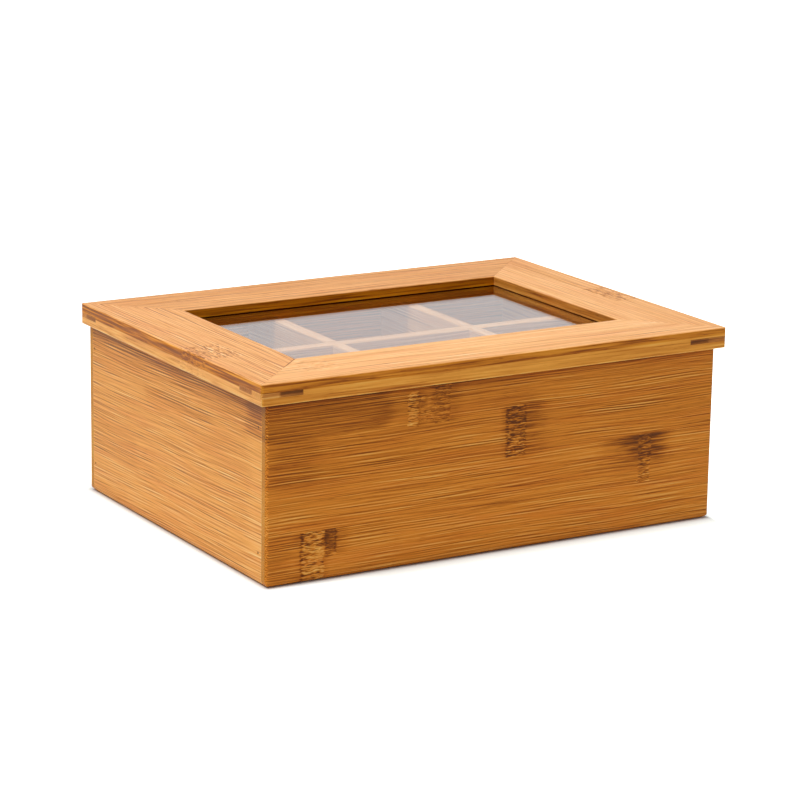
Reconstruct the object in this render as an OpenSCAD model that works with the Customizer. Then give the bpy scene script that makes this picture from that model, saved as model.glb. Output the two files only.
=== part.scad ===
// Tea bag box: a rabbeted and nailed body with six compartments, and a hinged lid
// whose mitred, keyed frame holds a clear pane. Millimetres, +Z up, front towards -Y.
// The origin is the bottom centre of the whole box, hinge knuckles included.

/* [Body] */
// Outside width of the body
body_w = 210; // [150:1:320]
// Outside depth of the body
body_d = 158; // [120:1:240]
// Height of the walls
body_h = 73; // [50:1:120]
// Thickness of the walls
wall_t = 8.5; // [7.5:0.5:12]
// Radius of the upright outside corners
corner_r = 1.5; // [0.5:0.1:3]
// Radius along the bottom outside edges
foot_r = 3; // [0.5:0.1:4]
// Radius along the top edges of the dividers
divider_edge_r = 0.8; // [0.2:0.1:1.5]

/* [Corner joints] */
// Thickness of the lip that covers the end of each side wall
lip_t = 3.7; // [2.5:0.1:4.5]
// Diameter of a brad
brad_d = 0.7; // [0.6:0.1:0.9]
// Diameter of a brad's head
brad_head_d = 1; // [1:0.1:2]
// Length of a brad
brad_l = 19; // [14:1:24]
// How far the heads are set below the surface
brad_sink = 0.2; // [0.1:0.1:0.8]
// Brads of the front corners, from the front face
brad_front = 6.6; // [5.5:0.1:7]
// Brads of the back corners, from the back face
brad_back = 5.4; // [5.2:0.1:7]
// Upper brads, from the top of the walls
brad_top = 10; // [7:1:20]
// Lower brads, from the bottom of the walls
brad_bottom = 13; // [11:1:22]

/* [Bottom] */
// Thickness of the bottom panel
bottom_t = 4; // [3:0.5:6]
// Underside of the bottom panel, above the table
bottom_raise = 3; // [2:0.5:5]
// How far the bottom panel reaches into the walls
bottom_bite = 4; // [2:0.5:4.5]

/* [Dividers] */
// Thickness of the dividers
divider_t = 5.5; // [4:0.5:8]
// Tops of the dividers, below the top of the walls
divider_drop = 1.6; // [0.5:0.1:15]
// How far the cross dividers stand to the right of evenly spaced
divider_shift = 2.6; // [-5:0.1:5]
// Depth of the housings that hold the ends of the dividers
housing_depth = 2; // [1:0.5:3]

/* [Lid frame] */
// Thickness of the lid
lid_t = 8.8; // [8:0.1:12]
// Width of the four frame members
rail_w = 32; // [24:1:45]
// Overhang of the lid at each side
side_overhang = 3.5; // [0:0.5:6]
// Overhang of the lid at the front
front_overhang = 2.5; // [0:0.5:6]
// Radius along the outside edges
rail_edge_r = 0.7; // [0.3:0.1:1.5]
// Radius along the window edges
sight_edge_r = 0.5; // [0.2:0.1:1]
// Radius of the upright corners of the lid
lid_corner_r = 1; // [0.5:0.1:3]
// Gap between the closed lid and the walls
lid_gap = 0.2; // [0.1:0.1:0.6]

/* [Corner keys] */
// Thickness of the keys
key_t = 2; // [1.5:0.1:3]
// Legs of the front keys
front_key_leg = 18; // [12:1:22]
// Legs of the back keys
back_key_leg = 14; // [12:1:22]
// Tops of the keys, below the top of the lid
key_drop = 3.7; // [2.5:0.1:4.2]

/* [Window] */
// Thickness of the pane
pane_t = 2; // [1.5:0.5:3]
// Top of the pane, below the top of the lid
pane_drop = 4.3; // [2.5:0.1:4.5]
// Room above the pane in its groove
pane_play = 0.4; // [0.1:0.1:0.8]
// How far the pane reaches into the frame
pane_bite = 5; // [3:0.5:8]

/* [Hinges] */
// Length of a hinge
hinge_l = 25; // [18:1:32]
// Middle of each hinge, from the side of the body
hinge_inset = 45; // [30:1:60]
// Width of a leaf, on the wood
leaf_w = 6.5; // [5:0.5:7]
// Thickness of a leaf
leaf_t = 0.9; // [0.6:0.1:1.2]
// Radius of the leaf corners
leaf_corner_r = 1; // [0.4:0.1:1.5]
// Outside diameter of the knuckles
knuckle_d = 3.4; // [3:0.1:4.5]
// Knuckles of a hinge, shared by its two leaves
knuckles = 5; // [3:2:7]
// Gap between neighbouring knuckles
knuckle_gap = 0.2; // [0.1:0.05:0.4]
// Gap between the knuckles and the back of the box
back_gap = 0.2; // [0.1:0.05:0.5]
// Diameter of a hinge pin
pin_d = 1.5; // [1.2:0.1:2]
// Diameter of a pin's heads
pin_head_d = 2.4; // [2.2:0.1:2.9]
// Thickness of a pin's heads
pin_head_t = 0.5; // [0.3:0.1:1]

/* [Hinge screws] */
// Diameter of a screw's shank
screw_d = 2; // [1.6:0.1:2.4]
// Diameter of a screw's head
screw_head_d = 3.8; // [3.2:0.1:4.4]
// Length of the screws in the body
body_screw_l = 9; // [6:0.5:12]
// Length of the screws in the lid
lid_screw_l = 6; // [4:0.5:6.5]
// Distance between the two screws of a leaf
screw_spacing = 15; // [10:0.5:18]
// Width of the cross cut in a screw's head
drive_w = 0.5; // [0.3:0.1:0.8]

/* [Fits] */
// Clearance all round a glued or driven joint
joint_fit = 0.05; // [0.02:0.01:0.1]
// Clearance between a hinge pin and its knuckles
pin_fit = 0.05; // [0.02:0.01:0.1]

/* [Hidden] */
$fn = 48;

amber_bamboo = [0.80, 0.55, 0.33];
pale_bamboo = [0.93, 0.77, 0.60];
key_bamboo = [0.62, 0.38, 0.20];
clear_sheet = [0.85, 0.90, 0.92, 0.35];
hinge_brass = [0.80, 0.66, 0.36];
brad_steel = [0.35, 0.32, 0.30];

cut = 1; // how far a cutting shape runs past the surface that it opens
chamfer = 0.4; // on the ends of the hinge pins

lid_w = body_w + 2 * side_overhang;
lid_d = body_d + front_overhang;
knuckle_r = knuckle_d / 2;
axis_out = back_gap + knuckle_r; // hinge axis behind the back of the box
whole_d = lid_d + axis_out + knuckle_r;
body_y = front_overhang / 2 - (axis_out + knuckle_r) / 2; // middle of the body
lid_y = -(axis_out + knuckle_r) / 2; // middle of the lid
axis_y = whole_d / 2 - knuckle_r;
axis_z = body_h + lid_gap / 2;
lid_z = body_h + lid_gap;

inner_w = body_w - 2 * wall_t;
inner_d = body_d - 2 * wall_t;
floor_z = bottom_raise + bottom_t;
divider_h = body_h - divider_drop - floor_z;
column_w = (inner_w - 2 * divider_t) / 3;
cross_x = [for (side = [-1, 1]) side * (column_w + divider_t) / 2 + divider_shift]; // middles of the cross dividers
hinge_x = body_w / 2 - hinge_inset;
knuckle_l = hinge_l / knuckles;
screw_y = -axis_out - leaf_w / 2;
lid_screw_turn = 180;

pane_z = lid_t - pane_drop - pane_t;
key_z = lid_t - key_drop - key_t;

// ---------------------------------------------------------------- shared shapes

// A rectangle from [0, 0] to [w, h], with a radius of its own at each side in y.
module soft_rectangle(w, h, low_r, high_r) {
    translate([low_r, 0]) square([w - 2 * low_r, h / 2]);
    translate([high_r, h / 2]) square([w - 2 * high_r, h / 2]);
    translate([0, low_r]) square([w, h - low_r - high_r]);
    for (x = [low_r, w - low_r]) translate([x, low_r]) circle(low_r);
    for (x = [high_r, w - high_r]) translate([x, h - high_r]) circle(high_r);
}

// A rectangle centred on the origin, with one radius at its four corners.
module centred_soft_rectangle(w, h, r) {
    translate([-w / 2, -h / 2]) soft_rectangle(w, h, r, r);
}

// An upright profile with its bottom corners rounded, as wide as w and run through d.
module round_footed_bar(w, d, h) {
    rotate([90, 0, 0]) translate([-w / 2, 0, -d / 2]) linear_extrude(d) difference() {
        soft_rectangle(w, h + 2 * foot_r, foot_r, foot_r);
        translate([-cut, h]) square([w + 2 * cut, 2 * foot_r + cut]);
    }
}

// The block that the four walls are shaped from, with its outside edges eased.
module body_outline() {
    intersection() {
        linear_extrude(body_h) centred_soft_rectangle(body_w, body_d, corner_r);
        round_footed_bar(body_w, body_d, body_h);
        rotate([0, 0, 90]) round_footed_bar(body_d, body_w, body_h);
    }
}

module in_body() translate([0, body_y, 0]) children();
module in_lid() translate([0, lid_y, lid_z]) children();

// Runs its children at the axis of the left (-1) or the right (1) hinge.
module at_hinge(side) translate([side * hinge_x, axis_y, axis_z]) children();

// ---------------------------------------------------------------- fasteners

// A brad along +X with its head at the origin. Grown by fit, it is the hole for one.
module brad(fit) {
    r = brad_d / 2 + fit;
    head_r = brad_head_d / 2 + fit;
    head_t = brad_d / 2 + fit;
    rotate([0, 90, 0]) rotate_extrude() polygon([
        [0, 0], [head_r, 0], [head_r, head_t], [r, head_t], [r, brad_l - brad_d], [0, brad_l + fit]
    ]);
}

// The four brads or brad holes of the left wall.
module left_brads(fit) {
    for (y = [-body_d / 2 + brad_front, body_d / 2 - brad_back], z = [brad_bottom, body_h - brad_top])
        translate([-body_w / 2 + brad_sink, y, z]) {
            brad(fit);
            if (fit > 0) rotate([0, -90, 0]) cylinder(h = brad_sink + cut, r = brad_head_d / 2 + fit);
        }
}

// A countersunk screw down -Z with its head flush at the origin. Grown by fit, it is the hole for one.
module screw(l, fit) {
    r = screw_d / 2 + fit;
    head_r = screw_head_d / 2 + fit;
    tip_l = screw_d;
    difference() {
        rotate_extrude() polygon([
            [0, 0], [head_r, 0], [r, -(head_r - r)], [r, tip_l - l], [0, -l - fit]
        ]);
        if (fit == 0)
            for (turn = [0, 90]) rotate([0, 0, turn])
                translate([-screw_head_d * 0.3, -drive_w / 2, -drive_w]) cube([screw_head_d * 0.6, drive_w, drive_w + cut]);
    }
}

// The pair of screws or screw holes of one leaf, from the hinge axis: down into the body or up into the lid.
module leaf_screws(l, fit) {
    for (x = [-screw_spacing / 2, screw_spacing / 2]) translate([x, screw_y, -lid_gap / 2]) {
        screw(l, fit);
        if (fit > 0) cylinder(h = lid_gap, r = screw_head_d / 2 + fit);
    }
}

// Turns what is made for the body's leaf over for the lid's leaf.
module turned_over() mirror([0, 0, 1]) children();

// ---------------------------------------------------------------- hinges

// The outline of the part of a leaf that lies on the wood, grown by fit.
module leaf_outline(fit) {
    translate([-hinge_l / 2 - fit, -axis_out - leaf_w - fit])
        soft_rectangle(hinge_l + 2 * fit, leaf_w + 2 * leaf_corner_r + fit, leaf_corner_r, leaf_corner_r);
}

// The recess for a leaf in the top edge of the back wall.
module leaf_recess() {
    translate([0, 0, -lid_gap / 2 - leaf_t - joint_fit]) linear_extrude(leaf_t + lid_gap + joint_fit) intersection() {
        leaf_outline(joint_fit);
        translate([-hinge_l, -axis_out - leaf_w - cut]) square([2 * hinge_l, leaf_w + cut + back_gap]);
    }
}

// A leaf under the hinge axis, with the knuckles from the first one given, every second one.
module hinge_leaf(first, l) {
    difference() {
        union() {
            translate([0, 0, -lid_gap / 2 - leaf_t]) linear_extrude(leaf_t) intersection() {
                leaf_outline(0);
                translate([-hinge_l, -axis_out - leaf_w - cut]) square([2 * hinge_l, leaf_w + cut]);
            }
            for (i = [first : 2 : knuckles - 1])
                translate([(i - knuckles / 2) * knuckle_l + knuckle_gap / 2, 0, 0]) {
                    rotate([0, 90, 0]) cylinder(h = knuckle_l - knuckle_gap, r = knuckle_r);
                    translate([0, -axis_out - back_gap, -lid_gap / 2 - leaf_t])
                        cube([knuckle_l - knuckle_gap, axis_out + back_gap, leaf_t]);
                }
        }
        translate([-hinge_l, 0, 0]) rotate([0, 90, 0]) cylinder(h = 2 * hinge_l, r = pin_d / 2 + pin_fit);
        leaf_screws(l, joint_fit);
    }
}

// The pin, with a head at each end that keeps it in the knuckles.
module hinge_pin() {
    half_l = hinge_l / 2;
    head_r = pin_head_d / 2;
    rotate([0, 90, 0]) rotate_extrude() polygon([
        [0, -half_l - pin_head_t], [head_r - chamfer, -half_l - pin_head_t], [head_r, -half_l - pin_head_t + chamfer],
        [head_r, -half_l], [pin_d / 2, -half_l], [pin_d / 2, half_l], [head_r, half_l],
        [head_r, half_l + pin_head_t - chamfer], [head_r - chamfer, half_l + pin_head_t], [0, half_l + pin_head_t]
    ]);
}

// ---------------------------------------------------------------- body

// Groove for the bottom panel, all round the inside of the walls.
module bottom_groove() {
    w = inner_w + 2 * (bottom_bite + joint_fit);
    d = inner_d + 2 * (bottom_bite + joint_fit);
    translate([-w / 2, -d / 2, bottom_raise - joint_fit]) cube([w, d, bottom_t + 2 * joint_fit]);
}

// Housing for one end of a divider, in the inside face of the wall at -Y.
module divider_housing() {
    translate([-divider_t / 2 - joint_fit, -inner_d / 2 - housing_depth - joint_fit, floor_z])
        cube([divider_t + 2 * joint_fit, housing_depth + joint_fit + cut, body_h]);
}

// The front or the back wall before its holes, made at the front: a board as long as
// the body, with a rabbet at each end that leaves a lip over the end of the side wall.
module long_wall() {
    difference() {
        intersection() {
            body_outline();
            translate([-body_w, -body_d / 2 - cut, -cut]) cube([2 * body_w, wall_t + cut, body_h + 2 * cut]);
        }
        for (side = [-1, 1])
            translate([side * body_w / 2 - wall_t - joint_fit, -body_d / 2 + lip_t, -cut])
                cube([2 * (wall_t + joint_fit), wall_t, body_h + 2 * cut]);
        bottom_groove();
        for (x = cross_x) translate([x, 0, 0]) divider_housing();
    }
}

module front_panel() color(amber_bamboo) in_body() difference() {
    long_wall();
    left_brads(joint_fit);
    mirror([1, 0, 0]) left_brads(joint_fit);
}

module back_panel() color(amber_bamboo) difference() {
    in_body() difference() {
        mirror([0, 1, 0]) long_wall();
        left_brads(joint_fit);
        mirror([1, 0, 0]) left_brads(joint_fit);
    }
    for (side = [-1, 1]) at_hinge(side) {
        leaf_recess();
        leaf_screws(body_screw_l, joint_fit);
    }
}

// A side wall, made at the left: its ends stand in the rabbets of the front and back walls.
module side_wall() {
    l = body_d - 2 * (lip_t + joint_fit);
    difference() {
        intersection() {
            body_outline();
            translate([-body_w / 2 - cut, -l / 2, -cut]) cube([wall_t + cut, l, body_h + 2 * cut]);
        }
        bottom_groove();
        translate([-(inner_w + 2 * (housing_depth + joint_fit)) / 2, -divider_t / 2 - joint_fit, floor_z])
            cube([inner_w, divider_t + 2 * joint_fit, body_h]);
        left_brads(joint_fit);
    }
}

module left_panel() color(amber_bamboo) in_body() side_wall();
module right_panel() color(amber_bamboo) in_body() mirror([1, 0, 0]) side_wall();

module bottom_panel() color(pale_bamboo) in_body() {
    w = inner_w + 2 * bottom_bite;
    d = inner_d + 2 * bottom_bite;
    translate([-w / 2, -d / 2, bottom_raise]) cube([w, d, bottom_t]);
}

// A divider along X with its top edges eased, as long as l and standing on z = 0.
module divider_board(l) {
    rotate([90, 0, 90]) translate([-divider_t / 2, 0, -l / 2]) linear_extrude(l) difference() {
        translate([0, -2 * divider_edge_r]) soft_rectangle(divider_t, divider_h + 2 * divider_edge_r, divider_edge_r, divider_edge_r);
        translate([-cut, -2 * divider_edge_r - cut]) square([divider_t + 2 * cut, 2 * divider_edge_r + cut]);
    }
}

// Half-lap notch for a divider that crosses at right angles, from z upwards.
module lap_notch(z) {
    translate([-divider_t / 2 - joint_fit, -divider_t, z]) cube([divider_t + 2 * joint_fit, 2 * divider_t, divider_h / 2 + cut]);
}

module long_divider() color(pale_bamboo) in_body() translate([0, 0, floor_z]) difference() {
    divider_board(inner_w + 2 * housing_depth);
    for (x = cross_x) translate([x, 0, 0]) lap_notch(joint_fit - cut);
}

module cross_divider(x) {
    in_body() translate([x, 0, floor_z]) rotate([0, 0, 90]) difference() {
        divider_board(inner_d + 2 * housing_depth);
        lap_notch(divider_h / 2);
    }
}

module cross_divider_left() color(pale_bamboo) cross_divider(cross_x[0]);
module cross_divider_right() color(pale_bamboo) cross_divider(cross_x[1]);

module left_corner_brads() color(brad_steel) in_body() left_brads(0);
module right_corner_brads() color(brad_steel) in_body() mirror([1, 0, 0]) left_brads(0);

module body_hinge_leaf_left() color(hinge_brass) at_hinge(-1) hinge_leaf(0, body_screw_l);
module body_hinge_leaf_right() color(hinge_brass) at_hinge(1) hinge_leaf(0, body_screw_l);
module hinge_pin_left() color(hinge_brass) at_hinge(-1) hinge_pin();
module hinge_pin_right() color(hinge_brass) at_hinge(1) hinge_pin();
module body_hinge_screws() color(hinge_brass) for (side = [-1, 1]) at_hinge(side) leaf_screws(body_screw_l, 0);

// ---------------------------------------------------------------- lid

// A frame member along X, as long as l, with its outside edge on y = 0: eased edges,
// the pane's groove in its inside edge, a little higher than the pane, and a mitre at each end.
module frame_member(l) {
    intersection() {
        difference() {
            rotate([90, 0, 90]) translate([0, 0, -l / 2]) linear_extrude(l) member_profile();
            translate([-l, rail_w - pane_bite - joint_fit, pane_z - joint_fit])
                cube([2 * l, pane_bite + joint_fit + cut, pane_t + joint_fit + pane_play]);
        }
        linear_extrude(lid_t) polygon([
            [-l / 2 + joint_fit, 0], [l / 2 - joint_fit, 0],
            [l / 2 - rail_w - joint_fit, rail_w], [-l / 2 + rail_w + joint_fit, rail_w]
        ]);
    }
}

// The member's section, outside edge at x = 0, before the pane's groove.
module member_profile() {
    intersection() {
        soft_rectangle(2 * rail_w, lid_t, rail_edge_r, rail_edge_r);
        translate([-rail_w, 0]) soft_rectangle(2 * rail_w, lid_t, sight_edge_r, sight_edge_r);
    }
}

// A three-cornered key in the left (-1) or right (1), front (-1) or back (1) corner, grown by fit.
module corner_key(side, end, leg, fit) {
    translate([side * lid_w / 2, end * lid_d / 2, key_z - fit]) linear_extrude(key_t + 2 * fit) polygon([
        [0, 0], [-side * (leg + fit), 0], [0, -end * (leg + fit)]
    ]);
}

module lid_outline() {
    linear_extrude(lid_t) centred_soft_rectangle(lid_w, lid_d, lid_corner_r);
}

// The slots for the four keys.
module key_slots() {
    for (side = [-1, 1]) {
        corner_key(side, -1, front_key_leg, joint_fit);
        corner_key(side, 1, back_key_leg, joint_fit);
    }
}

// Sets a member in the frame: its middle is half of span from the lid's middle, turned about Z.
module framed(span, turn) {
    in_lid() difference() {
        intersection() {
            rotate([0, 0, turn]) translate([0, -span / 2, 0]) children();
            lid_outline();
        }
        key_slots();
    }
}

module lid_front_rail() color(pale_bamboo) framed(lid_d, 0) frame_member(lid_w);
module lid_left_stile() color(pale_bamboo) framed(lid_w, -90) frame_member(lid_d);
module lid_right_stile() color(pale_bamboo) framed(lid_w, 90) frame_member(lid_d);
module lid_back_rail() color(pale_bamboo) difference() {
    framed(lid_d, 180) frame_member(lid_w);
    for (side = [-1, 1]) at_hinge(side) turned_over() {
        leaf_recess();
        leaf_screws(lid_screw_l, joint_fit);
    }
}

// A key, trimmed flush with the rounded corner of the lid.
module trimmed_key(side, end, leg) {
    color(key_bamboo) in_lid() intersection() {
        corner_key(side, end, leg, 0);
        lid_outline();
    }
}

module corner_key_front_left() trimmed_key(-1, -1, front_key_leg);
module corner_key_front_right() trimmed_key(1, -1, front_key_leg);
module corner_key_back_left() trimmed_key(-1, 1, back_key_leg);
module corner_key_back_right() trimmed_key(1, 1, back_key_leg);

module window_pane() color(clear_sheet) in_lid() {
    w = lid_w - 2 * (rail_w - pane_bite);
    d = lid_d - 2 * (rail_w - pane_bite);
    translate([-w / 2, -d / 2, pane_z]) cube([w, d, pane_t]);
}

module lid_hinge_leaf_left() color(hinge_brass) at_hinge(-1) turned_over() hinge_leaf(1, lid_screw_l);
module lid_hinge_leaf_right() color(hinge_brass) at_hinge(1) turned_over() hinge_leaf(1, lid_screw_l);
module lid_hinge_screws() color(hinge_brass) for (side = [-1, 1]) at_hinge(side) turned_over() leaf_screws(lid_screw_l, 0);

front_panel();
back_panel();
left_panel();
right_panel();
bottom_panel();
long_divider();
cross_divider_left();
cross_divider_right();
left_corner_brads();
right_corner_brads();
body_hinge_leaf_left();
body_hinge_leaf_right();
hinge_pin_left();
hinge_pin_right();
body_hinge_screws();
lid_front_rail();
lid_back_rail();
lid_left_stile();
lid_right_stile();
corner_key_front_left();
corner_key_front_right();
corner_key_back_left();
corner_key_back_right();
window_pane();
lid_hinge_leaf_left();
lid_hinge_leaf_right();
lid_hinge_screws();
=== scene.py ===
"""Looks of the tea bag box: bamboo boards, brass hinges, a clear pane and soft studio light."""

import math
from collections import namedtuple

import bmesh
import bpy
from mathutils import Matrix, Vector


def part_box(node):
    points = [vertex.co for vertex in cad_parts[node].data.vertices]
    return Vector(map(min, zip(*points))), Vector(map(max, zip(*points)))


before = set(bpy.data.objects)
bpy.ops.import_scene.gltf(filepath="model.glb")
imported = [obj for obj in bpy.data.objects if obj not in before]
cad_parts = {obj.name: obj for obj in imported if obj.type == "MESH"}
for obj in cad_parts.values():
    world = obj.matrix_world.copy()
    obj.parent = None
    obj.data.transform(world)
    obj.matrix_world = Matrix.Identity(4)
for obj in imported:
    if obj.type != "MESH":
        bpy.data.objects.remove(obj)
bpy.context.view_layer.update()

X, Y, Z = 0, 1, 2  # axes, for the way a board's grain runs
MM = 0.001  # metres
WHITE = (1, 1, 1, 1)
COLOUR_A, COLOUR_B, BLENDED = 6, 7, 2  # the sockets of a mix node that are for colours


def srgb(red, green, blue):
    """A colour of 0 to 255 as the linear RGBA that a socket takes."""
    shares = (red / 255, green / 255, blue / 255)
    return (*(c / 12.92 if c <= 0.04045 else ((c + 0.055) / 1.055) ** 2.4 for c in shares), 1.0)


# ---------------------------------------------------------------- node helpers


class Wiring:
    """The nodes of one material or of the world. Lengths are in millimetres."""

    def __init__(self, owner):
        owner.use_nodes = True
        self.nodes, self.links = owner.node_tree.nodes, owner.node_tree.links
        self.nodes.clear()

    def feed(self, socket, value):
        """A socket takes another node's output, or a plain value."""
        if isinstance(value, bpy.types.NodeSocket):
            self.links.new(value, socket)
        else:
            socket.default_value = value

    def node(self, kind, *values, **settings):
        """A new node of a kind, with its settings, and its first sockets fed in their order."""
        node = self.nodes.new("ShaderNode" + kind)
        for name, value in settings.items():
            setattr(node, name, value)
        for socket, value in zip(node.inputs, values):
            self.feed(socket, value)
        return node

    def math(self, operation, *values):
        return self.node("Math", *values, operation=operation).outputs[0]

    def add(self, *values):
        total = values[0]
        for value in values[1:]:
            total = self.math("ADD", total, value)
        return total

    def times(self, a, b):
        return self.math("MULTIPLY", a, b)

    def less(self, a, b):
        return self.math("SUBTRACT", a, b)

    def away(self, a, b):
        """How far a is from b, on either side."""
        return self.math("ABSOLUTE", self.less(a, b))

    def sway(self, value, most):
        """A noise of 0 to 1 as a change to either side, by up to half of most."""
        return self.times(self.less(value, 0.5), most)

    def spread(self, value, low, high, to_low=0.0, to_high=1.0, step="SMOOTHSTEP"):
        """From to_low to to_high as value goes from low to high, and no further."""
        return self.node("MapRange", value, low, high, to_low, to_high, interpolation_type=step).outputs[0]

    def within(self, value, low, high, soft):
        """1 from low to high, with ends that fade over twice soft."""
        return self.times(self.spread(value, low - soft, low + soft),
                          self.spread(value, high - soft, high + soft, 1.0, 0.0))

    def point(self, x, y=0.0, z=0.0):
        return self.node("CombineXYZ", x, y, z).outputs[0]

    def millimetres(self):
        """The x, y and z of the point that is shaded."""
        scaled = self.node("VectorMath", self.node("TexCoord").outputs["Object"], operation="SCALE")
        scaled.inputs["Scale"].default_value = 1 / MM
        return list(self.node("SeparateXYZ", scaled.outputs[0]).outputs)

    def noise(self, place, detail=2.0, rough=0.5):
        """A smooth random value, with patches about 1 across."""
        node = self.node("TexNoise", place)
        for name, value in (("Scale", 1.0), ("Detail", detail), ("Roughness", rough)):
            node.inputs[name].default_value = value
        return node.outputs["Fac"]

    def chance(self, place):
        """A random value of its own for each place."""
        return self.node("TexWhiteNoise", place).outputs["Value"]

    def ramp(self, value, stops):
        """The colour of each stop at its place, and a blend between them."""
        node = self.node("ValToRGB", value)
        while len(node.color_ramp.elements) < len(stops):
            node.color_ramp.elements.new(1.0)
        for element, (place, colour) in zip(node.color_ramp.elements, stops):
            element.position, element.color = place, colour
        return node.outputs["Color"]

    def blend(self, share, a, b, kind="MIX"):
        node = self.node("Mix", share, data_type="RGBA", blend_type=kind)
        self.feed(node.inputs[COLOUR_A], a)
        self.feed(node.inputs[COLOUR_B], b)
        return node.outputs[BLENDED]

    def seen(self):
        """1 on a ray of sight, straight, mirrored or through the pane, and 0 once light is spread."""
        rays = self.node("LightPath").outputs
        sight = self.math("MAXIMUM", rays["Is Camera Ray"], rays["Is Glossy Ray"])
        sight = self.math("MAXIMUM", sight, rays["Is Transmission Ray"])
        return self.times(sight, self.math("LESS_THAN", rays["Diffuse Depth"], 0.5))


class Finish(Wiring):
    """One material of the box, with its shader."""

    def __init__(self, name):
        self.material = bpy.data.materials.new(name)
        super().__init__(self.material)
        self.shader = self.node("BsdfPrincipled")
        self.output = self.node("OutputMaterial", self.shader.outputs["BSDF"])

    def set(self, **values):
        """Shader sockets by name, with _ for a space."""
        for name, value in values.items():
            self.feed(self.shader.inputs[name.replace("_", " ")], value)

    def bump(self, height, depth, strength):
        node = self.node("Bump")
        node.inputs["Strength"].default_value = strength
        node.inputs["Distance"].default_value = depth * MM
        self.feed(node.inputs["Height"], height)
        self.set(Normal=node.outputs["Normal"])


# ---------------------------------------------------------------- bamboo


def palette(*colours, tones=(0.0, 0.18, 0.35, 0.65, 1.0)):
    """The colours of bamboo from burnt knuckle to pale fibre, each at its tone."""
    return [(tone, srgb(*colour)) for tone, colour in zip(tones, colours)]


HONEY = palette((78, 36, 4), (120, 62, 8), (169, 94, 17), (229, 142, 44), (253, 198, 102))
STRAW = palette((104, 58, 16), (160, 93, 31), (209, 133, 54), (246, 174, 86), (255, 216, 144))
PEACH = palette((112, 62, 24), (166, 102, 46), (212, 146, 80), (247, 189, 126), (254, 226, 180))
LINING = palette((104, 62, 30), (160, 102, 54), (206, 143, 86), (240, 185, 128), (252, 220, 176))
SMOKED = palette((72, 34, 8), (134, 76, 24), (204, 128, 56), (252, 190, 100), tones=(0.0, 0.3, 0.6, 1.0))
REDDER = srgb(246, 222, 214)  # over the whole board, here and there
END_GRAIN = srgb(232, 249, 255)  # where a board is cut across
EDGE_AMBER = srgb(255, 226, 104)  # on the outside edges of the lid

# Fibres and patches, as (length, width) in millimetres.
BAND, STREAK, HAIR, DARK_LINE, PORE = (150.0, 3.8), (70.0, 1.1), (34.0, 0.52), (45.0, 0.42), (6.0, 0.25)
RAGGED, DASH, CLOUDY, PLAIN, BEND = (5.0, 1.3), (3.6, 0.42), (11.0, 0.8), (60.0, 3.0), (80.0, 34.0)
PLY_WAVES, TINGES = 0.018, (0.02, 0.18)  # patches to the millimetre, along the grain and across it

# Where a board's fibres go, in millimetres: they wander, bend at a knuckle, and start anew in each cane.
WANDER, KNUCKLE_BEND, CANE_SHIFT = 2.4, 3.0, 400.0
RAGGED_KNUCKLE, RAGGED_STAIN, RAGGED_KEY = 2.6, 24.0, 1.5  # how far a knuckle's, stain's or key's end strays

# How far each of these moves the tone.
BAND_TONE, STREAK_TONE, PORE_TONE, CANE_TONE, GLUE_TONE, END_TONE = 0.22, 0.12, 0.12, 0.1, 0.1, 0.04
# The third here is a painted shadow: the narrow dark band right under the top of each wall.
ARRIS_TONE, CRACK_TONE, RIM_SHADOW_TONE = 0.12, 0.5, 0.08
LIP_HIGHLIGHT_TONE, SHADE_TONE = 0.12, -0.4  # of the frame's inner edge: a painted highlight by the lip over the pane, and painted shade under the pane
SPECK_MOST = 0.19  # of the light dashes in a knuckle
DARKEST = 0.08

# Smooth steps, as (from, to, the share there, the share here), or (from, to) alone. First those of a noise.
LINED, PORED = (0.55, 0.68), (0.58, 0.74)  # only the strongest fibres are dark lines or pores
PLAINER = (0.34, 0.66, 0.7, 1.3)  # the hairs are weaker in places
BROKEN, STREAKED = (0.35, 0.6, 1.0, 0.3), (0.3, 0.7, 0.3, 1.4)  # the end lines and stains of a knuckle
# The first here sets where arrises are paler: by wear, and on a lid's lower arris by a painted highlight.
WORN_AND_LIT, REDDENED = (0.35, 0.65, 0.4, 1.0), (0.42, 0.7, 0.0, 0.4)
# And those of a distance in millimetres.
CUT_END = (0.02, 0.1, 0.4, 1.0)  # cut across, the fibres show far less
END_LINE, CRACK, FACING = (0.1, 1.2), (0.1, 0.5), (0.25, 0.5)
GLUE, ARRIS = (0.06, 0.24, 1.0, 0.0), (0.15, 0.8, 1.0, 0.0)
# A painted shadow just under the top of a wall, where the lid shades it.
RIM_SHADOW = (-1.6, -0.2, 0.0, RIM_SHADOW_TONE)

ROUGH, MIRROR, RELIEF = 0.45, 0.12, 0.05  # oiled bamboo: roughness, specular level, and depth in millimetres

# A knuckle of the cane across one strip: its place along the grain, its lowest and highest point across it,
# its width, how dark it is, how strong its light and dark dashes are, how dark the line at each end is, the
# cloud of stain beside each end as (how far it reaches, how dark), and how much darker its high side is.
Mark = namedtuple("Mark", "along low high width core dashes edges clouds lean",
                  defaults=(0.1, 1.0, (0.15, 0.15), ((0, 0), (0, 0)), 0.0))

# A stain, from and to along the grain, from and to across it, and how much paler it is, or below 0 darker.
Stain = namedtuple("Stain", "start end low high paler")

# The two sheets that a lid board is pressed from: how high the glue between them lies, how it tilts and
# wavers, and how much paler and how amber each sheet's outer edge is.
Plies = namedtuple("Plies", "level tilt waver upper lower upper_amber lower_amber")

# The inner edge of the lid's frame, above and below the pane, with a painted highlight by the lip and painted
# shade under the pane: its axis and place, how much paler it is, the height of the lip over the pane, and its
# tint.
Sight = namedtuple("Sight", "axis at paler lip tint")

# The crack along a mitre: the inner corner of the frame, and how far out the crack shows.
Mitre = namedtuple("Mitre", "x y reach")

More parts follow.
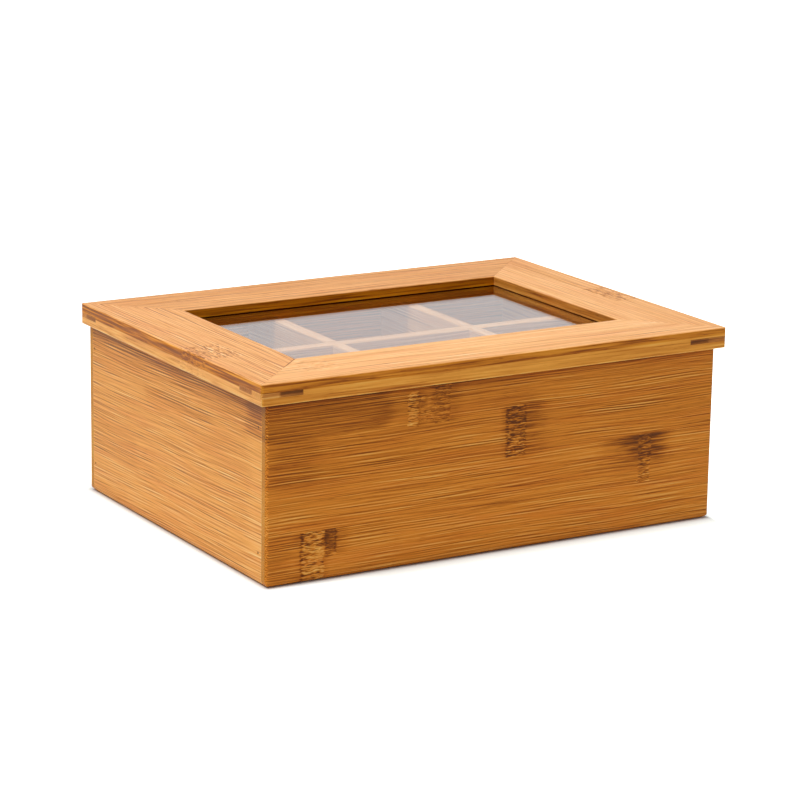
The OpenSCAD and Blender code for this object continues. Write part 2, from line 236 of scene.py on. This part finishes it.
# A corner key: the outer corner of the lid, how far from it the key is paler, by how much, and how much paler
# it gets for each millimetre from the side towards the front or back: painted light and shade between its
# faces.
Key = namedtuple("Key", "x y pale_to paler side")

# Painted shade on the rim of a wall under the lid, where its overhang shades it: how far down it reaches, and
# how dark it is at the top.
Eaves = namedtuple("Eaves", "reach darker")


class Board(Finish):
    """Flat-pressed bamboo for one board, its grain along one axis and its strips side by side on another."""

    def __init__(self, node, grain, across, coarse, seed):
        super().__init__("bamboo_" + node)
        self.coarse, self.seed = coarse, seed
        self.place = self.millimetres()
        self.low, self.high = ([c / MM for c in limit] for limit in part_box(node))
        thick = 3 - grain - across
        self.along, self.over, self.deep = (self.place[axis] for axis in (grain, across, thick))
        self.underside, self.top = self.low[thick], self.high[thick]
        from_end = self.math("MINIMUM", self.less(self.along, self.low[grain]),
                             self.less(self.high[grain], self.along))
        self.crisp = self.spread(from_end, *CUT_END)
        self.cut = self.spread(self.crisp, CUT_END[2], CUT_END[3], 1.0, 0.0)
        self.ragged = self.patches(RAGGED, 2.0)

    def layer(self, along, over, size, detail, number):
        """Noise in patches of a size along the grain and over it. Each number gives another layer."""
        length, width = size
        into = self.add(self.times(self.deep, 1 / width), self.seed + number)
        place = self.point(self.times(along, 1 / length), self.times(over, 1 / width), into)
        return self.noise(place, detail, 0.6)

    def patches(self, size, detail=1.0, number=0.0):
        """A layer that lies straight and runs on from strip to strip."""
        return self.layer(self.along, self.over, size, detail, number)

    def fibres(self, size, detail, number, aside=0.0):
        """A layer that follows the fibres of each strip, at its own coarseness."""
        length, width = size
        return self.layer(self.start, self.add(self.drift, aside * self.coarse),
                          (length, width * self.coarse), detail, number)

    def knuckles(self, marks):
        """Where the marks bend the fibres, how much they darken, and their light and dark dashes."""
        dash = self.patches((DASH[0], DASH[1] * self.coarse), number=20.0)
        cloudy = self.patches((CLOUDY[0], CLOUDY[1] * self.coarse), 2.0, 21.0)
        return [self.add(*parts) for parts in zip(*(self.knuckle(mark, dash, cloudy) for mark in marks))]

    def knuckle(self, mark, dash, cloudy):
        """Where one mark is, how much it darkens, and its light dashes."""
        away = self.add(self.along, -mark.along, self.sway(self.ragged, RAGGED_KNUCKLE))
        inside = self.within(self.over, mark.low, mark.high, 0.4)
        half = mark.width / 2
        core = self.times(inside, self.spread(self.math("ABSOLUTE", away), half - 0.5, half + 0.5, 1.0, 0.0))
        dark = self.times(core, mark.core)
        for side, edge, (reach, stain) in zip((-1.0, 1.0), mark.edges, mark.clouds):
            out = self.math("MULTIPLY_ADD", away, side, -half)
            if edge:
                line = self.times(self.spread(self.math("ABSOLUTE", out), *END_LINE, edge, 0.0), inside)
                dark = self.add(dark, self.times(line, self.spread(dash, *BROKEN)))
            if stain:
                cloud = self.times(self.spread(out, -0.6, 0.6), self.spread(out, 0.0, reach, stain, 0.0))
                cloud = self.times(cloud, inside)
                dark = self.add(dark, self.times(cloud, self.spread(cloudy, *STREAKED)))
        dark = self.times(dark, self.spread(self.over, mark.low, mark.high, 1.0 - mark.lean, 1.0 + mark.lean))
        light = self.times(core, self.times(self.less(dash, 0.5), mark.dashes))
        return core, dark, self.math("MINIMUM", light, SPECK_MOST)

    def lay_strips(self, strip, joint, slope, swirl):
        """Every strip is cut from another cane, so its fibres start anew."""
        self.drift = self.add(self.over, self.sway(self.patches(BEND, number=22.0), WANDER),
                              self.times(self.along, slope))
        if swirl is not None:
            self.drift = self.add(self.drift, self.times(self.sway(self.ragged, KNUCKLE_BEND), swirl))
        count = self.math("FLOOR", self.math("DIVIDE", self.less(self.over, joint), strip))
        self.cane = self.chance(self.point(count, self.seed + 0.5, 1.5))
        self.start = self.add(self.along, self.times(self.cane, CANE_SHIFT))

    def stain(self, stain, band):
        """How much one stain changes the tone. Its ends run out along the fibres."""
        near = self.add(self.along, self.sway(band, RAGGED_STAIN))
        patch = self.times(self.within(near, stain.start + 4, stain.end - 4, 4),
                           self.within(self.drift, stain.low, stain.high, 0.8))
        return self.times(patch, stain.paler)

    def ply_edges(self, plies):
        """1 in the upper sheet, 1 below the top face, and how much paler and how amber the edges are."""
        bend = self.noise(self.point(self.times(self.along, PLY_WAVES), self.seed + 8.0), 1.0)
        sheet = self.add(self.deep, self.sway(bend, plies.waver), self.times(self.along, -plies.tilt))
        upper = self.spread(sheet, plies.level - 0.3, plies.level + 0.3)
        edge = self.spread(self.deep, self.top - 0.6, self.top - 0.1, 1.0, 0.0)
        paler = self.times(edge, self.spread(upper, 0.0, 1.0, plies.lower, plies.upper))
        amber = self.times(edge, self.spread(upper, 0.0, 1.0, plies.lower_amber, plies.upper_amber))
        return upper, edge, paler, amber

    def sight_edge(self, sight):
        """1 on the edge that faces the pane, and how much paler it is, with a painted highlight by the lip
        and painted shade under the pane.
        """
        facing = self.spread(self.away(self.place[sight.axis], sight.at), *FACING, 1.0, 0.0)
        facing = self.times(facing, self.spread(self.deep, self.top - 1.1, self.top - 0.6, 1.0, 0.0))
        lip_highlight = self.spread(self.deep, sight.lip + 0.8, sight.lip + 1.2, LIP_HIGHLIGHT_TONE, 0.0)
        under_pane = self.spread(self.deep, sight.lip - 2.6, sight.lip - 2.2, SHADE_TONE, 0.0)
        return facing, self.times(facing, self.add(sight.paler, lip_highlight, under_pane))

    def mitre_crack(self, mitre):
        """How dark the crack is, in full by the window and none from its reach on."""
        beside, beyond = self.less(mitre.x, self.place[X]), self.less(mitre.y, self.place[Y])
        crack = self.spread(self.away(beside, beyond), *CRACK, CRACK_TONE, 0.0)
        return self.times(crack, self.spread(beside, mitre.reach - 4, mitre.reach, 1.0, 0.0))

    def key_ends(self, key):
        """How much paler a key is by its corner, and by its side, the latter painted light and shade between
        its faces.
        """
        aside, behind = self.away(self.place[X], key.x), self.away(self.place[Y], key.y)
        reach = self.add(self.math("MAXIMUM", aside, behind), self.times(self.ragged, RAGGED_KEY))
        by_corner = self.spread(reach, key.pale_to, key.pale_to + 1.4, key.paler, 0.0)
        return by_corner, self.times(self.less(behind, aside), key.side)

    def rim_shade(self, eaves):
        """How much darker the rim is: by painted shade under the lid, and by a narrower painted shadow right
        at the top.
        """
        below_rim = self.less(self.place[Z], self.high[Z])
        return self.add(self.spread(below_rim, -eaves.reach, 0.0, 0.0, eaves.darker),
                        self.spread(below_rim, *RIM_SHADOW))

    def glue_line(self, strip, joint):
        """1 on the thin line between two strips."""
        share = self.math("FRACT", self.math("DIVIDE", self.less(self.over, joint - strip / 2), strip))
        return self.spread(self.times(self.away(share, 0.5), strip), *GLUE)

    def worn_and_lit_arrises(self):
        """1 at an arris, where two faces meet, less here and there: wear, and a painted highlight on a lid's
        lower arris.
        """
        gaps = [self.math("MINIMUM", self.less(place, low), self.less(high, place))
                for place, low, high in zip(self.place, self.low, self.high)]
        nearer, farther = (self.math(which, gaps[X], gaps[Y]) for which in ("MINIMUM", "MAXIMUM"))
        second = self.math("MAXIMUM", nearer, self.math("MINIMUM", farther, gaps[Z]))
        return self.times(self.spread(second, *ARRIS), self.spread(self.ragged, *WORN_AND_LIT))


def bamboo(node, grain, across, colours, tone, strip=20.0, joint=0.0, slope=0.0, contrast=0.78, lines=0.14,
           coarse=1.0, marks=(), stains=(), plies=None, sight=None, mitre=None, key=None, eaves=None,
           lower_arris_highlight=0.34, seed=0.0):
    """The finish of one board. Its tone, from 0 for burnt to 1 for pale, picks its colour in the palette.

    A joint is where two strips meet, and slope is how much the fibres lean. Contrast is the strength of the
    hairs, lines that of the dark fibres, and coarse how thick both are. The argument before the seed is how
    much paler a lid board's lower arris is: a painted highlight along it.
    """
    bare = Board(node, grain, across, coarse, seed)
    swirl = None
    if marks:
        swirl, shade, speck = bare.knuckles(marks)
    bare.lay_strips(strip, joint, slope, swirl)

    # the fibres, from broad bands down to pores
    band, streak = bare.fibres(BAND, 2.0, 1.0), bare.fibres(STREAK, 1.0, 2.0)
    beside = bare.fibres(HAIR, 1.0, 3.0, HAIR[1])  # each hair is set off against the one beside it
    hair = bare.less(bare.fibres(HAIR, 1.0, 3.0), beside)
    hair = bare.times(hair, bare.spread(bare.patches(PLAIN, number=5.0), *PLAINER))
    line = bare.spread(bare.fibres(DARK_LINE, 1.0, 4.0), *LINED)
    pore = bare.spread(bare.fibres(PORE, 1.0, 6.0), *PORED)
    value = bare.add(bare.sway(streak, STREAK_TONE), bare.times(hair, contrast))
    value = bare.less(value, bare.add(bare.times(line, lines), bare.times(pore, PORE_TONE)))
    value = bare.add(tone, bare.times(bare.cut, END_TONE), bare.sway(bare.cane, CANE_TONE),
                     bare.sway(band, BAND_TONE), bare.times(value, bare.crisp))

    # what has happened to the board
    for stain in stains:
        value = bare.add(value, bare.stain(stain, band))
    if plies:
        upper, edge, paler, amber = bare.ply_edges(plies)
        value = bare.add(value, paler)
        if marks:
            keep = bare.times(upper, bare.less(1.0, bare.times(edge, 0.75)))
            shade, speck = bare.times(shade, keep), bare.times(speck, keep)
    if marks:
        value = bare.add(bare.less(value, shade), speck)
    if sight:
        facing, paler = bare.sight_edge(sight)
        value = bare.add(value, paler)
    if mitre:
        value = bare.less(value, bare.mitre_crack(mitre))
    if key:
        value = bare.add(value, *bare.key_ends(key))
    # painted shade on a wall's rim, under the lid
    if eaves:
        value = bare.less(value, bare.rim_shade(eaves))
    value = bare.less(value, bare.times(bare.glue_line(strip, joint), GLUE_TONE))
    wear_and_highlight = ARRIS_TONE
    if plies:  # the lid's lower arris is paler still, a painted highlight
        wear_and_highlight = bare.spread(bare.deep, bare.underside, bare.underside + 1.0, lower_arris_highlight, ARRIS_TONE)
    value = bare.math("MAXIMUM", bare.add(value, bare.times(bare.worn_and_lit_arrises(), wear_and_highlight)), DARKEST)

    # tints over the palette's colour
    tinge = bare.point(bare.times(bare.start, TINGES[0]), bare.times(bare.drift, TINGES[1]), seed + 12.0)
    tints = [(bare.times(bare.spread(bare.noise(tinge), *REDDENED), bare.crisp), REDDER)]
    if not key:
        tints.append((bare.cut, END_GRAIN))
    if plies:
        tints.append((amber, EDGE_AMBER))
    if sight:
        tints.append((facing, srgb(*sight.tint)))
    colour = bare.ramp(value, colours)
    for share, tint in tints:
        colour = bare.blend(share, colour, tint, "MULTIPLY")

    bare.set(Base_Color=colour, Specular_IOR_Level=MIRROR,
             Roughness=bare.add(ROUGH, bare.times(hair, 0.2), bare.times(line, 0.1)))
    height = bare.add(bare.times(hair, 0.5), bare.times(streak, 0.6))
    height = bare.less(height, bare.add(bare.times(line, 0.5), pore))
    if marks:
        height = bare.add(height, bare.times(speck, 0.6))
    bare.bump(height, RELIEF, 0.6)
    return bare.material


# ---------------------------------------------------------------- pane and metals

CLEAR, SHADOWED_RIM = (0.97, 0.985, 0.99, 1), (0.1, 0.07, 0.05, 1)  # of the pane, and painted shade on its rim where it sits in the groove
GROOVE = 5.0  # millimetres of the pane's rim that are hidden
PANE_SHADOW = (0.9, 0.9, 0.9, 1)


def clear_pane():
    """Clear acrylic, a little uneven, that lets the lamps through."""
    clear = Finish("clear_pane")
    x, y, _ = clear.millimetres()
    ripple = clear.noise(clear.point(clear.times(x, 0.02), clear.times(y, 0.06)))
    (left, front, _), (right, back, _) = ([c / MM for c in limit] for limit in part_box("window_pane"))
    rim = clear.math("MINIMUM", clear.math("MINIMUM", clear.less(x, left), clear.less(right, x)),
                     clear.math("MINIMUM", clear.less(y, front), clear.less(back, y)))
    # the rim hidden in the groove is painted dark, as shade
    clear.set(Base_Color=clear.blend(clear.spread(rim, GROOVE - 0.3, GROOVE + 0.2), SHADOWED_RIM, CLEAR),
              Roughness=0.0, IOR=1.49, Transmission_Weight=1.0)
    clear.bump(ripple, 0.02, 0.05)
    rays = clear.node("LightPath").outputs
    lighting = clear.math("MAXIMUM", rays["Is Shadow Ray"], rays["Is Diffuse Ray"])
    passing = clear.node("BsdfTransparent", PANE_SHADOW)
    either = clear.node("MixShader", lighting, clear.shader.outputs["BSDF"], passing.outputs["BSDF"])
    clear.feed(clear.output.inputs["Surface"], either.outputs["Shader"])
    return clear.material


def metal(name, bright, dull, rough, brushed):
    """Satin metal, brushed along x, with a duller bloom here and there."""
    satin = Finish(name)
    x, y, z = satin.millimetres()
    brush = satin.noise(satin.point(satin.times(x, 0.25), satin.times(y, brushed), satin.times(z, brushed)))
    bloom = satin.noise(satin.point(*(satin.times(axis, 0.35) for axis in (x, y, z))), 3.0)
    bloom = satin.spread(bloom, 0.42, 0.7, 0.0, 0.5)
    satin.set(Base_Color=satin.blend(bloom, srgb(*bright), srgb(*dull)), Metallic=1.0,
              Roughness=satin.add(rough, satin.sway(brush, 0.25), satin.times(bloom, 0.24)))
    satin.bump(brush, 0.01, 0.5)
    return satin.material


# ---------------------------------------------------------------- which board gets what

FRONT_MARKS = (
    Mark(8.0, 38.8, 59.8, 8.5, 0.22, 2.2, edges=(0.34, 0.12), clouds=((4, 0.14), (16, 0.2)), lean=0.3),
    Mark(71.0, 20.3, 40.6, 6.0, 0.16, 1.8, edges=(0, 0), clouds=((24, 0.19), (14, 0.2)), lean=0.8),
    Mark(-84.3, 0.0, 20.6, 10.0, 0.0, 2.4, edges=(0.4, 0), clouds=((5, 0.12), (3, 0.1)), lean=0.1),
    Mark(-76.6, 9.5, 20.4, 5.0, 0.3, 1.2, edges=(0, 0.1), clouds=((2, 0.1), (9, 0.16)), lean=0.3),
    Mark(-40.0, 57.0, 71.0, 4.5, 0.0, 2.6, edges=(0, 0.12), clouds=((6, 0.04), (6, 0.14)), lean=0.1),
    Mark(-33.5, 58.0, 69.0, 6.0, 0.0, 0.8, edges=(0, 0)),
    Mark(-26.5, 57.0, 74.0, 7.0, 0.11, 1.3, edges=(0, 0), clouds=((4, 0.12), (8, 0.12))),
)
FRONT_STAINS = (
    Stain(-115, -45, 58.0, 74.0, -0.18), Stain(-110, -88, 2.0, 20.4, -0.12),
    Stain(-108, -80, 38.0, 60.0, -0.08), Stain(60, 84, 30.0, 40.4, -0.1), Stain(-60, 20, 60.4, 74.0, -0.05),
)
BACK_MARKS = (
    Mark(-52.0, 34.0, 54.0, 8.0, clouds=((14, 0.14), (4, 0.08))),
    Mark(44.0, 14.0, 34.0, 8.0, 0.02, 1.6, clouds=((3, 0.06), (16, 0.12))),
)
RIGHT_MARKS = (Mark(18.0, 13.0, 33.0, 8.0, 0.05, 1.3, clouds=((3, 0.06), (15, 0.12))),)
LEFT_STAINS = (
    Stain(-92, -62, -2.0, 57.0, 0.07), Stain(-80, 80, 57.0, 66.0, -0.03), Stain(-86, -60, 57.0, 74.0, -0.16),
    Stain(-40, 30, 54.0, 58.0, -0.1), Stain(30, 90, 20.4, 34.0, -0.08),
)
FRONT_LEFT_MITRE = Mitre(x=-76.5, y=-50.05, reach=12.0)
DIVIDER = dict(colours=LINING, tone=0.57, eaves=Eaves(0.5, -0.16))  # its top is paler, above the narrow painted shadow of each rim

BOARDS = {
    "front_panel": dict(grain=X, across=Z, colours=HONEY, tone=0.61, joint=0.5, eaves=Eaves(4.5, 0.2),
                        marks=FRONT_MARKS, stains=FRONT_STAINS, seed=11.0),
    "back_panel": dict(grain=X, across=Z, colours=HONEY, tone=0.6, joint=-6.0, eaves=Eaves(4.5, 0.2),
                       marks=BACK_MARKS, stains=(Stain(-20, 60, 54.0, 74.0, -0.1),), seed=23.0),
    "left_panel": dict(grain=Y, across=Z, colours=STRAW, tone=0.56, joint=0.5, slope=0.02, contrast=0.98,
                       eaves=Eaves(14.0, 0.34), stains=LEFT_STAINS, seed=31.0),
    "right_panel": dict(grain=Y, across=Z, colours=STRAW, tone=0.57, joint=-7.0, slope=-0.02, contrast=0.98,
                        eaves=Eaves(8.0, 0.24), marks=RIGHT_MARKS, seed=43.0),
    "bottom_panel": dict(grain=X, across=Y, colours=LINING, tone=0.45, seed=51.0),
    "long_divider": dict(grain=X, across=Z, joint=8.0, seed=61.0, **DIVIDER),
    "cross_divider_left": dict(grain=Y, across=Z, joint=12.0, seed=71.0, **DIVIDER),
    "cross_divider_right": dict(grain=Y, across=Z, joint=5.0, seed=83.0, **DIVIDER),
    "lid_front_rail": dict(grain=X, across=Y, colours=PEACH, tone=0.55, joint=-66.0, lines=0.12,
                           contrast=0.65, coarse=1.8, lower_arris_highlight=0.8, mitre=FRONT_LEFT_MITRE, seed=91.0,
                           plies=Plies(level=78.5, tilt=0.004, waver=1.2, upper=-0.19, lower=-0.02,
                                       upper_amber=0.93, lower_amber=0.82),
                           marks=(Mark(-75.0, -72.0, -54.0, 14.0, 0.0, 0.6, edges=(0, 0)),)),
    "lid_back_rail": dict(grain=X, across=Y, colours=PEACH, tone=0.42, joint=60.0, lines=0.12, contrast=0.6,
                          coarse=1.8, seed=103.0,
                          plies=Plies(level=77.4, tilt=0.0, waver=1.5, upper=-0.2, lower=-0.04,
                                      upper_amber=0.95, lower_amber=0.8),
                          sight=Sight(axis=Y, at=46.45, paler=0.06, lip=78.1, tint=(252, 250, 130))),
    "lid_left_stile": dict(grain=Y, across=X, colours=PEACH, tone=0.445, joint=-88.0, slope=0.02, lines=0.1,
                           contrast=0.75, coarse=1.5, mitre=FRONT_LEFT_MITRE, seed=113.0,
                           plies=Plies(level=77.4, tilt=0.0, waver=0.6, upper=-0.16, lower=0.22,
                                       upper_amber=0.9, lower_amber=0.5),
                           marks=(Mark(-25.0, -111.0, -92.0, 22.0, 0.07, edges=(0, 0)),)),
    "lid_right_stile": dict(grain=Y, across=X, colours=PEACH, tone=0.51, joint=95.0, lines=0.1, contrast=0.5,
                            coarse=1.8, seed=127.0,
                            plies=Plies(level=77.4, tilt=0.0, waver=1.5, upper=-0.2, lower=0.1,
                                        upper_amber=0.5, lower_amber=0.5),
                            sight=Sight(axis=X, at=76.5, paler=0.02, lip=78.1, tint=(255, 255, 225)),
                            marks=(Mark(-7.0, 96.0, 112.0, 26.0, 0.1, 0.8, edges=(0, 0)),)),
}
KEYS = {
    "corner_key_front_left": Key(x=-108.5, y=-82.05, pale_to=8.0, paler=0.33, side=0.003),
    "corner_key_front_right": Key(x=108.5, y=-82.05, pale_to=9.0, paler=0.14, side=0.004),
    "corner_key_back_left": Key(x=-108.5, y=78.45, pale_to=5.5, paler=0.2, side=-0.006),
    "corner_key_back_right": Key(x=108.5, y=78.45, pale_to=3.0, paler=0.2, side=0.0),
}
for number, (name, key) in enumerate(KEYS.items()):
    BOARDS[name] = dict(grain=X, across=Y, colours=SMOKED, tone=0.37, strip=60.0, joint=30.0, key=key,
                        seed=140.0 + 7 * number)

finishes = {name: bamboo(name, **board) for name, board in BOARDS.items()}
finishes["window_pane"] = clear_pane()
brass = metal("satin_brass", (214, 172, 96), (158, 118, 60), 0.3, 9.0)
steel = metal("steel", (98, 84, 70), (58, 46, 36), 0.45, 3.0)
for name in ("body_hinge_leaf_left", "body_hinge_leaf_right", "lid_hinge_leaf_left", "lid_hinge_leaf_right",
             "hinge_pin_left", "hinge_pin_right", "body_hinge_screws", "lid_hinge_screws"):
    finishes[name] = brass
for name in ("left_corner_brads", "right_corner_brads"):
    finishes[name] = steel
for name, finish in finishes.items():
    for material_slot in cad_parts[name].material_slots:
        material_slot.material = finish


# ---------------------------------------------------------------- studio

ROOM_LIGHT = 0.36  # of the world, as it lights the box
MIRRORED_WALLS = (0.975, 0.93, 0.915, 1)  # a little off white, as the pane and the brass show them
FLOOR_REACH = 4.0  # metres each way from the box
FLOOR_GREY = (0.76, 0.76, 0.76, 1)
FOOT_X, FOOT_Y = 105.0, 79.0  # half the width and depth of the box where it stands

# Light added where the floor is seen, by millimetres from the box, so that only a close shadow shows.
LIFT_COLOUR = (0.9, 1, 0.94, 1)
STEPS_REACH = 50.0
LIFT_STEPS = ((0.3, 0.0), (1.3, 0.17), (3.0, 0.37), (4.2, 0.45), (6.4, 0.48), (12.0, 0.62),
              (STEPS_REACH, 0.8))
# More of it at a side of the box: where it starts, where it is full, and how much. The first is on the side
# away from the side lamp, and the second on that lamp's side.
SIDE_LIFTS = ((FOOT_X, FOOT_X + 1.5, 0.42), (-FOOT_X + 1.2, -FOOT_X - 0.5, 0.2))

world = bpy.data.worlds.new("studio")
bpy.context.scene.world = world
room = Wiring(world)
straight = room.node("LightPath").outputs["Is Camera Ray"]
walls = room.node("Background", room.blend(straight, MIRRORED_WALLS, WHITE)).outputs[0]
glow = room.node("Background", WHITE, ROOM_LIGHT).outputs[0]
room.node("OutputWorld", room.node("MixShader", room.seen(), glow, walls).outputs[0])

ground = bmesh.new()
bmesh.ops.create_grid(ground, x_segments=1, y_segments=1, size=FLOOR_REACH)
floor_mesh = bpy.data.meshes.new("floor")
ground.to_mesh(floor_mesh)
ground.free()
floor = bpy.data.objects.new("floor", floor_mesh)
bpy.context.scene.collection.objects.link(floor)
floor_paper = bpy.data.materials.new("floor_paper")
paper = Wiring(floor_paper)
x, y, _ = paper.millimetres()
beside, beyond = (paper.math("MAXIMUM", paper.less(paper.math("ABSOLUTE", place), foot), 0.0)
                  for place, foot in ((x, FOOT_X), (y, FOOT_Y)))
distance = paper.math("SQRT", paper.add(paper.times(beside, beside), paper.times(beyond, beyond)))
lift = paper.ramp(paper.math("DIVIDE", distance, STEPS_REACH),
                  [(place / STEPS_REACH, (amount, amount, amount, 1)) for place, amount in LIFT_STEPS])
lift = paper.add(lift, *(paper.spread(x, near, far, 0.0, most, "LINEAR") for near, far, most in SIDE_LIFTS))
matt = paper.node("BsdfDiffuse", FLOOR_GREY).outputs[0]
lifted = paper.node("Emission", LIFT_COLOUR, paper.times(paper.seen(), lift)).outputs[0]
paper.node("OutputMaterial", paper.node("AddShader", matt, lifted).outputs[0])
floor.data.materials.append(floor_paper)

# Each lamp: the way it comes from, its distance and width in metres, and what a white board facing it would
# return.
LAMPS = {
    "softbox": ((-0.1, -0.13, 0.985), 1.5, 1.0, 0.53),
    "side_lamp": ((-0.58, 0.0, 0.815), 1.5, 0.12, 0.35),
}
for name, (way, away, width, returned) in LAMPS.items():
    way = Vector(way).normalized()
    lamp = bpy.data.lights.new(name, "AREA")
    lamp.shape = "SQUARE"
    lamp.size = width
    lamp.energy = returned * (math.pi * away) ** 2
    stand = bpy.data.objects.new(name, lamp)
    stand.matrix_world = Matrix.Translation(way * away) @ way.to_track_quat("Z", "Y").to_matrix().to_4x4()
    bpy.context.scene.collection.objects.link(stand)

CAMERA_PLACE = (-0.64096, -1.07313, 0.36292)
CAMERA_TURN, CAMERA_DIP, CAMERA_ROLL = 30.905, 14.269, 0.92  # degrees
eye = bpy.data.cameras.new("camera")
eye.sensor_width, eye.lens = 36, 138.37  # millimetres
eye.clip_start = 0.01
camera = bpy.data.objects.new("camera", eye)
camera.matrix_world = (Matrix.Translation(CAMERA_PLACE)
                       @ Matrix.Rotation(math.radians(-CAMERA_TURN), 4, "Z")
                       @ Matrix.Rotation(math.radians(90 - CAMERA_DIP), 4, "X")
                       @ Matrix.Rotation(math.radians(CAMERA_ROLL), 4, "Z"))
bpy.context.scene.collection.objects.link(camera)
bpy.context.scene.camera = camera
bpy.context.scene.view_settings.view_transform = "Standard"
